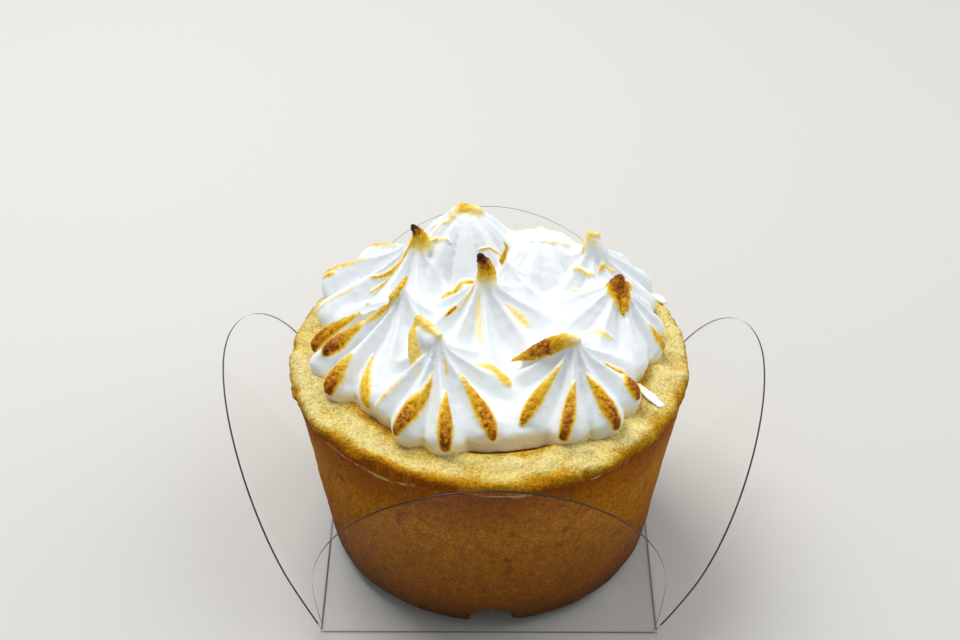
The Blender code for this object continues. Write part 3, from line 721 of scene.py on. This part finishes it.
# The tone of the torched peaks at each of their points.
PEAK_TONES = {
    "middle": (0.06, 0.38, 0.58, 1.0),
    "back_left": (0.0, 0.30, 0.44, 1.0),
    "front_right": (0.14, 0.38, 0.60, 0.54, 0.40, 0.34),
    "inner": (0.50, 0.38, 0.34, 0.34),
    "right_back": (0.0, 0.05, 0.26, 0.20),
    "left": (0.30, 0.36, 0.38),
    "back": (0.10, 0.38, 0.20),
    "front_left": (0.16, 0.27, 0.33),
    "front_left_fold": (0.32, 0.28, 0.27, 0.10),
}
# The cream tint at the foot is partly toast and partly painted shade where the skirt curls under.
FOOT_TONE_AND_SHADE = 0.12
FOOT_TINTED_AND_SHADED = 1.3  # height of the tinted band at the foot, in mm
LOWEST_MARK = 1.2  # height under which no mark's middle line runs, in mm
THIN_MARK = 0.8  # half width up to which a mark is a thin line, in mm
MERINGUE_WHITE = "#edf1f3"
# Sizes of the patches in the browning, of the blisters and of the waves in the foam.
PATCH_SIZE = 0.4167 * MM
BLISTER_SIZE = 0.5263 * MM
FOAM_SIZE = 2.381 * MM
# Share of torching and the colour that it gives.
TORCH_COLOURS = (
    (0.12, "#fdf1cc"),
    (0.24, "#f8dc80"),
    (0.38, "#eaba20"),
    (0.50, "#d79a00"),
    (0.66, "#9c4e00"),
    (0.92, "#2c1000"),
)


def kiss_edge(kiss, direction, crest):
    """How far a kiss reaches from its tip in a direction, furthest where a crest is."""
    tip_x, tip_y, _, base_x, base_y, radius = kiss[:6]
    along = (base_x - tip_x) * np.cos(direction) + (base_y - tip_y) * np.sin(direction)
    offset = (base_x - tip_x) ** 2 + (base_y - tip_y) ** 2
    to_base = along + np.sqrt(np.maximum(radius**2 - offset + along**2, 0.01))
    return to_base * (0.90 + 0.13 * crest**0.8)


def kiss_height(x, y, kiss):
    """A kiss's height over points of its plan, in mm. It falls away steeply past its foot."""
    tip_x, tip_y, height, _, _, radius, dragged_deg, turn, blunt, crowding = kiss
    direction = np.arctan2(y - tip_y, x - tip_x)
    turned = (direction - math.radians(dragged_deg) + math.pi) % (2 * math.pi) - math.pi
    fanned = turned.copy()
    for _ in range(12):
        fanned = turned + crowding * np.sin(fanned)
    crest = np.abs(np.cos(RIDGES * fanned / 2 - turn * math.pi))
    share = (np.hypot(x - tip_x, y - tip_y) + 1e-6) / kiss_edge(kiss, direction, crest)
    dome = np.cos(np.minimum(share, 1.0) * math.pi / 2) ** 0.8
    body = (1 - blunt) * soft_fall(share) + blunt * dome
    # The grooves deepen towards the skirt and are shallow on a blunt kiss, above all on top.
    groove = np.interp(share, GROOVE_REACH, GROOVE_DEPTH) * radius / GROOVE_RADIUS
    groove = groove * (1 - 0.75 * blunt) * (1 - 0.5 * blunt * np.clip(1.2 - 2 * share, 0.0, 1.0))
    sharpness = np.interp(share, CREST_REACH, CREST_SHARPNESS)
    crease = np.interp(share, CREASE_REACH, CREASE_DEPTH)
    crease = crease * np.sin(1.5 * (RIDGES * fanned - 2 * math.pi * turn)) ** 2
    shape = height * body - groove * (1 - crest**sharpness) - crease
    return np.where(share > 1.0, -6.0 * height * (share - 1.0), shape)


def soft_fall(share):
    """The kiss's fall from tip to foot, with its corners rounded off."""
    total = 0.0
    weights = 0.0
    for shift in np.linspace(-0.03, 0.03, 7):
        weight = math.exp(-(shift / 0.018) ** 2)
        total = total + weight * np.interp(np.maximum(share + shift, 0.0), REACH, FALL)
        weights += weight
    return total / weights


def meringue_height(x, y):
    """The height of the whole topping over the crust's rim, in mm."""
    layers = [kiss_height(x, y, kiss) for kiss in KISSES.values()]
    layers.append(np.interp(PAD_RADIUS - np.hypot(x, y - PAD_CENTRE_Y), PAD_EDGE_IN, PAD_HEIGHT))
    highest = np.max(layers, axis=0)
    blended = BLEND * np.log(np.sum(np.exp((layers - highest) / BLEND), axis=0))
    return highest + blended - BLEND_RISE


def skirt_bulge(x, y, z):
    """How far the skirt swells out beyond its foot, at a height."""
    swell = np.interp(z, SKIRT_HEIGHT, SKIRT_SWELL)
    return swell * np.clip((np.hypot(x, y) - SKIRT_START) / SKIRT_WIDTH, 0.0, 1.0)


def swollen(points):
    """The points with the skirt's swell added."""
    swell = skirt_bulge(*points.T) / (np.hypot(points[:, 0], points[:, 1]) + 1e-6)
    return points * np.stack((1.0 + swell, 1.0 + swell, np.ones(len(points))), axis=1)


def on_meringue(x, y):
    """The points of the meringue's surface at points of its plan."""
    return swollen(np.stack((x, y, np.maximum(meringue_height(x, y), LOWEST_MARK)), axis=1))


def ridge_path(name, ridge_start, share_start, ridge_end, share_end):
    """Points on the meringue along a kiss's ridge, whose crests are whole ridge numbers."""
    kiss = KISSES[name]
    tip_x, tip_y, *_, dragged_deg, turn, _, crowding = kiss
    ridge = np.linspace(ridge_start, ridge_end, 14)
    share = np.linspace(share_start, share_end, 14)
    fanned = 2 * math.pi * (ridge + turn) / RIDGES
    direction = math.radians(dragged_deg) + fanned - crowding * np.sin(fanned)
    crest = np.abs(np.cos(math.pi * ridge))
    reach = share * kiss_edge(kiss, direction, crest)
    return on_meringue(tip_x + reach * np.cos(direction), tip_y + reach * np.sin(direction))


def plan_path(plan):
    """Points on the meringue along a line drawn through plan points."""
    at = np.linspace(0.0, len(plan) - 1.0, 30)
    x, y = (np.interp(at, range(len(plan)), axis) for axis in np.array(plan).T)
    return on_meringue(x, y)


def along_path(points, path):
    """How far along a path each point lies, from 0 to 1, and its distance from the path."""
    nearest = np.full(len(points), 1e3)
    part = np.zeros(len(points))
    for i, (start, end) in enumerate(zip(path, path[1:])):
        step = end - start
        share = np.clip((points - start) @ step / (step @ step), 0.0, 1.0)
        distance = np.linalg.norm(points - start - share[:, None] * step, axis=1)
        closer = distance < nearest
        nearest[closer] = distance[closer]
        part[closer] = ((i + share) / (len(path) - 1))[closer]
    return part, nearest


def close_to(points, path, margin):
    """Which of the points lie in the box round a path, with a margin."""
    low = path.min(axis=0) - margin
    high = path.max(axis=0) + margin
    return np.all((points > low) & (points < high), axis=1)


def mark_width(half_width, part):
    """A torch mark's half width along it: a thin line, or a leaf that is slender above."""
    if half_width < THIN_MARK:
        return half_width * (0.55 + 0.45 * np.sin(math.pi * part))
    leaf = np.where(part < 0.62, (part / 0.62) ** 0.85, np.sqrt(1.0 - ((part - 0.62) / 0.38) ** 2))
    return half_width * (0.1 + 0.9 * leaf)


def torch(points):
    """The tone and the lift of every point, from the marks on ridges and on peaks."""
    tone = np.zeros(len(points))
    lift = np.zeros(len(points))
    ragged = np.array([noise.noise(Vector(point) / 0.55) for point in points])
    chance = random.Random(7)
    marks = [(ridge_path(*mark[:5]), *mark[5:]) for mark in RIDGE_MARKS]
    marks += [(plan_path(plan), *looks) for plan, *looks in FREE_MARKS]
    for name, ridges in BACK_RIDGES.items():
        for ridge in ridges:
            start = chance.uniform(0.3, 0.5)
            end = chance.uniform(0.92, 0.99)
            dark = chance.uniform(0.45, 0.7)
            half_width = chance.uniform(0.9, 1.35)
            path = ridge_path(name, ridge, start, ridge, end)
            marks.append((path, half_width, dark - 0.2, dark, 0.25))
    for path, half_width, tone_0, tone_1, rise in marks:
        near = close_to(points, path, 2.5)
        part, distance = along_path(points[near], path)
        inside = distance / mark_width(half_width, part) + 0.09 * ragged[near]
        # A thin line's tone fades from its middle, and a leaf's only near its edge.
        fade = 0.7 if half_width > THIN_MARK else 1.0
        level = np.clip((1.1 - inside) / fade, 0.0, 1.0) * (tone_0 + (tone_1 - tone_0) * part)
        tone[near] = np.maximum(tone[near], level)
        lift[near] = np.maximum(lift[near], rise * np.clip((1.25 - inside) / 0.85, 0.0, 1.0))
    for name, tones in PEAK_TONES.items():
        path = np.array(PEAKS[name])
        near = close_to(points, path[:, :3], 3.0)
        part, distance = along_path(points[near], path[:, :3])
        where = np.linspace(0.0, 1.0, len(tones))
        inside = distance / np.interp(part, where, path[:, 3]) + 0.2 * ragged[near]
        level = np.clip((1.5 - inside) / 0.5, 0.0, 1.0) * np.interp(part, where, tones)
        tone[near] = np.maximum(tone[near], level)
    # The foot is tinted cream all round, as a toasted tint and as painted shade under the skirt,
    # and neither of the smears is.
    foot = FOOT_TONE_AND_SHADE * np.clip(1.4 - points[:, 2] / FOOT_TINTED_AND_SHADED, 0.0, 1.0)
    from_pad = np.hypot(points[:, 0], points[:, 1] - PAD_CENTRE_Y)
    foot *= np.clip(PAD_RADIUS + 3.2 - from_pad, 0.0, 1.0)
    return np.maximum(tone, foot), lift


def make_meringue_material():
    """Whipped meringue: a soft satin white, browned to black by the toast attribute."""
    material, tree, output = new_material("torched_meringue")
    place = add_node(tree, "ShaderNodeTexCoord").outputs["Object"]
    toast = add_node(tree, "ShaderNodeAttribute", {"attribute_name": "toast"}).outputs["Fac"]
    patterns = []
    for size, detail, roughness in (
        (PATCH_SIZE, 3.0, 0.6),
        (BLISTER_SIZE, 2.0, 0.55),
        (FOAM_SIZE, 3.0, 0.5),
    ):
        pattern = add_node(
            tree,
            "ShaderNodeTexNoise",
            Vector=place,
            Scale=1.0 / size,
            Detail=detail,
            Roughness=roughness,
        )
        patterns.append(pattern.outputs[0])
    patches, blisters, foam = patterns
    # The sugar browned unevenly, so the patches raise and lower the toasting.
    times = {"operation": "MULTIPLY"}
    times_and_add = {"operation": "MULTIPLY_ADD"}
    spread = add_node(tree, "ShaderNodeMath", times_and_add, _0=patches, _1=0.9, _2=0.60)
    level = add_node(tree, "ShaderNodeMath", times, _0=toast, _1=spread.outputs[0])
    ramp = add_node(tree, "ShaderNodeValToRGB", _0=level.outputs[0])
    ramp.color_ramp.elements.remove(ramp.color_ramp.elements[1])
    ramp.color_ramp.elements[0].position = 0.03
    ramp.color_ramp.elements[0].color = linear(MERINGUE_WHITE)
    for position, colour in TORCH_COLOURS:
        ramp.color_ramp.elements.new(position).color = linear(colour)
    # It blistered where it browned. Elsewhere only the foam's soft waves show.
    crumple = add_node(tree, "ShaderNodeMath", times, _0=blisters, _1=toast)
    relief = add_node(
        tree, "ShaderNodeMath", times_and_add, _0=crumple.outputs[0], _1=4.5, _2=foam
    )
    bump = add_node(
        tree, "ShaderNodeBump", Strength=0.8, Distance=0.15 * MM, Height=relief.outputs[0]
    )
    # Burnt sugar shines more than the foam does.
    satin = add_node(tree, "ShaderNodeMapRange", Value=toast, To_Min=0.44, To_Max=0.24)
    shader = add_node(
        tree,
        "ShaderNodeBsdfPrincipled",
        Base_Color=ramp.outputs["Color"],
        Roughness=satin.outputs[0],
        IOR=1.42,
        Specular_IOR_Level=0.22,
        Subsurface_Weight=0.14,
        Subsurface_Radius=(1.0, 0.9, 0.8),
        Subsurface_Scale=0.8 * MM,
        Normal=bump.outputs[0],
    )
    tree.links.new(shader.outputs[0], output.inputs["Surface"])
    return material


def mesh_vectors(items, name):
    """An array of one vector of each item of a mesh."""
    flat = np.empty(len(items) * 3)
    items.foreach_get(name, flat)
    return flat.reshape(-1, 3)


def pull_peak(bm, points, thickness, tilt_deg):
    """Runs a string of close balls along a peak, to be fused by the remesh."""
    tilted = Matrix.Rotation(math.radians(tilt_deg), 4, "X")
    flattened = tilted @ Matrix.Diagonal((1.0, 1.0, thickness, 1.0))
    path = [Vector(point) for point in points]
    for start, end in zip(path, path[1:]):
        steps = max(2, round((end.xyz - start.xyz).length / BALL_STEP))
        for i in range(steps + 1):
            ball = start.lerp(end, i / steps)
            place = Matrix.Translation(ball.xyz) @ flattened
            bmesh.ops.create_icosphere(bm, subdivisions=2, radius=ball.w, matrix=place)


# A fine sheet takes the height of the topping at each point, and gets walls and a floor.
sheet_bm = bmesh.new()
bmesh.ops.create_grid(sheet_bm, x_segments=GRID_CELLS, y_segments=GRID_CELLS, size=GRID_HALF)
sheet_mesh = bpy.data.meshes.new("piped")
sheet_bm.to_mesh(sheet_mesh)
points = mesh_vectors(sheet_mesh.vertices, "co")
points[:, 2] = np.maximum(meringue_height(points[:, 0], points[:, 1]), SHEET_LOWEST)
for vert, point in zip(sheet_bm.verts, swollen(points)):
    vert.co = point
border = [edge for edge in sheet_bm.edges if edge.is_boundary]
grown = bmesh.ops.extrude_edge_only(sheet_bm, edges=border)["geom"]
lower_edge = [item for item in grown if isinstance(item, bmesh.types.BMEdge)]
for item in grown:
    if isinstance(item, bmesh.types.BMVert):
        item.co.z = SHEET_UNDERSIDE
bmesh.ops.contextual_create(sheet_bm, geom=lower_edge)
for name, path in PEAKS.items():
    pull_peak(sheet_bm, path, *FLATTENED.get(name, (1.0, 0.0)))
bmesh.ops.scale(sheet_bm, verts=sheet_bm.verts, vec=(MM, MM, MM))
bmesh.ops.translate(sheet_bm, verts=sheet_bm.verts, vec=(0.0, TARTLET_Y, BED_Z))
bmesh.ops.recalc_face_normals(sheet_bm, faces=sheet_bm.faces)
sheet_bm.to_mesh(sheet_mesh)
sheet_bm.free()
# The sheet and the peaks are fused into one skin and smoothed.
rough = bpy.data.objects.new("piped", sheet_mesh)
bpy.context.collection.objects.link(rough)
remesh = rough.modifiers.new("remesh", "REMESH")
remesh.mode = "VOXEL"
remesh.voxel_size = VOXEL
relax = rough.modifiers.new("relax", "SMOOTH")
relax.factor = 0.5
relax.iterations = 3
fused = bpy.data.meshes.new_from_object(rough.evaluated_get(bpy.context.evaluated_depsgraph_get()))
bpy.data.objects.remove(rough, do_unlink=True)
# The torch's marks shade the skin and lift it. Below the rim it is cut off flat.
points = (mesh_vectors(fused.vertices, "co") - (0.0, TARTLET_Y, BED_Z)) / MM
tone, lift = torch(points)
wrinkles = np.array([noise.noise(Vector(point) / 1.3) for point in points])
blisters = np.array([noise.noise(Vector(point) / 0.6) for point in points])
# The blisters stand out. Their tops are painted paler and the pits between them darker, partly as
# uneven browning and partly as painted highlight and shade on the crinkles.
lift += 0.06 * wrinkles + 0.20 * blisters * np.minimum(tone * 2.0, 1.0)
tone *= 1.0 - 0.3 * blisters
points = points + lift[:, None] * mesh_vectors(fused.vertex_normals, "vector")
fused.vertices.foreach_set("co", (points * MM + (0.0, TARTLET_Y, BED_Z)).ravel())
fused.attributes.new("toast", "FLOAT", "POINT").data.foreach_set("value", tone)
meringue_bm = bmesh.new()
meringue_bm.from_mesh(fused)
bmesh.ops.bisect_plane(
    meringue_bm,
    geom=meringue_bm.verts[:] + meringue_bm.edges[:] + meringue_bm.faces[:],
    plane_co=(0.0, 0.0, BED_Z - SUNK),
    plane_no=(0.0, 0.0, -1.0),
    clear_outer=True,
)
cut = [edge for edge in meringue_bm.edges if edge.is_boundary]
bmesh.ops.holes_fill(meringue_bm, edges=cut, sides=0)
finish_piece("torched_meringue", meringue_bm, [make_meringue_material()], "meringue")

# The floor: one plain pale sheet, a hair's breadth under the case, so that the film on
# it stays clear.

floor_bm = bmesh.new()
bmesh.ops.create_grid(floor_bm, x_segments=1, y_segments=1, size=3.0)
bmesh.ops.translate(floor_bm, verts=floor_bm.verts, vec=(0.0, 0.0, -0.1 * MM))
floor_mesh = bpy.data.meshes.new("floor")
floor_bm.to_mesh(floor_mesh)
floor_bm.free()
floor = bpy.data.objects.new("floor", floor_mesh)
bpy.context.collection.objects.link(floor)
material, tree, output = new_material("pale_matt_floor")
shader = add_node(tree, "ShaderNodeBsdfPrincipled", Base_Color=linear("#cfccc6"), Roughness=0.6)
tree.links.new(shader.outputs[0], output.inputs["Surface"])
floor_mesh.materials.append(material)

# The light: a soft lamp high on the left behind the tartlet, a wider and weaker one on
# the right, and an even pale surround.

SURROUND_TINT = "#f3faff"


def add_soft_light(name, place, size, power, colour):
    """A square soft light that points at the tartlet."""
    light = bpy.data.lights.new(name, "AREA")
    light.size = size
    light.energy = power
    light.color = linear(colour)[:3]
    lamp = bpy.data.objects.new(name, light)
    lamp.location = place
    aim = Vector((0.0, 0.0, 0.03)) - Vector(place)
    lamp.rotation_euler = aim.to_track_quat("-Z", "Y").to_euler()
    bpy.context.collection.objects.link(lamp)


add_soft_light("key", place=(-0.16, 0.20, 0.45), size=0.30, power=2.15, colour="#ffffff")
add_soft_light("fill", place=(0.38, 0.08, 0.40), size=0.5, power=1.35, colour="#ffffff")
world = bpy.data.worlds.new("studio")
world.use_nodes = True
surround = world.node_tree.nodes["Background"]
surround.inputs["Color"].default_value = linear(SURROUND_TINT)
surround.inputs["Strength"].default_value = 0.37
bpy.context.scene.world = world
bpy.context.scene.view_settings.view_transform = "Standard"

# The camera: in front of the tartlet and above it, looking down at it through a lens a
# little longer than normal, as in the photograph.

camera_data = bpy.data.cameras.new("camera")
camera_data.lens = 63.75
camera_data.sensor_width = 36.0
camera_data.clip_start = 0.01
camera = bpy.data.objects.new("camera", camera_data)
camera.location = (-0.00061, -0.20592, 0.20155)
camera.rotation_euler = (math.pi / 2 - 0.661, 0.0, 0.0042)
bpy.context.collection.objects.link(camera)
bpy.context.scene.camera = camera
